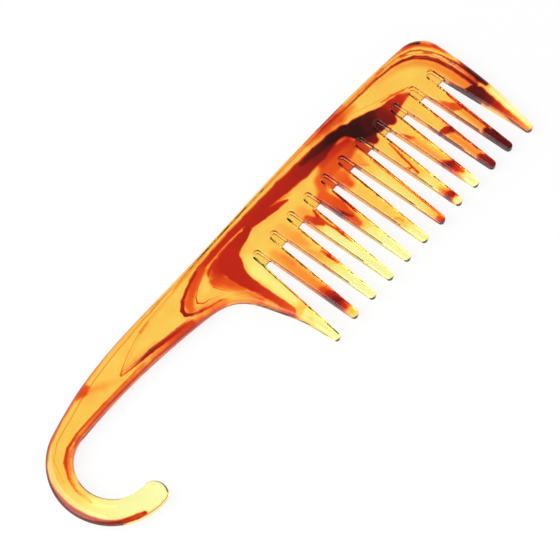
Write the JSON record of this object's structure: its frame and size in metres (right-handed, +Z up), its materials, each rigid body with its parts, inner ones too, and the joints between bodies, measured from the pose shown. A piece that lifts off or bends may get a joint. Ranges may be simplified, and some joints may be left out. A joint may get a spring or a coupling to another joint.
{
  "type": "wide tooth comb",
  "caption": "Flat wide tooth comb of clear tortoiseshell plastic: tapered round-tipped teeth under a recessed head, wider guard teeth at the ends, and a handle that curls into an open hook.",
  "frame": {"origin": "on the face that the comb lies on, below the centre of its bounding box", "axes": "+X from the hook to the head, the teeth point to -Y, +Z up out of the flat face"},
  "size_m": [0.236, 0.063, 0.005],
  "materials": {
    "clear_amber": "polished, clear",
    "pale_amber": "polished, clear",
    "maroon": "polished, clear",
    "orange": "polished, clear",
    "dark_red": "polished, clear"
  },
  "bodies": {
    "root": {"head_panel": "maroon", "handle": "clear_amber", "hook": "pale_amber", "front_guard_tooth": "dark_red", "rear_guard_tooth": "orange", "tooth_01": "dark_red", "tooth_02": "dark_red", "tooth_03": "orange", "tooth_04": "orange", "tooth_05": "clear_amber", "tooth_06": "clear_amber", "tooth_07": "pale_amber", "tooth_08": "pale_amber", "tooth_09": "clear_amber", "tooth_10": "orange"}
  },
  "joints": []
}
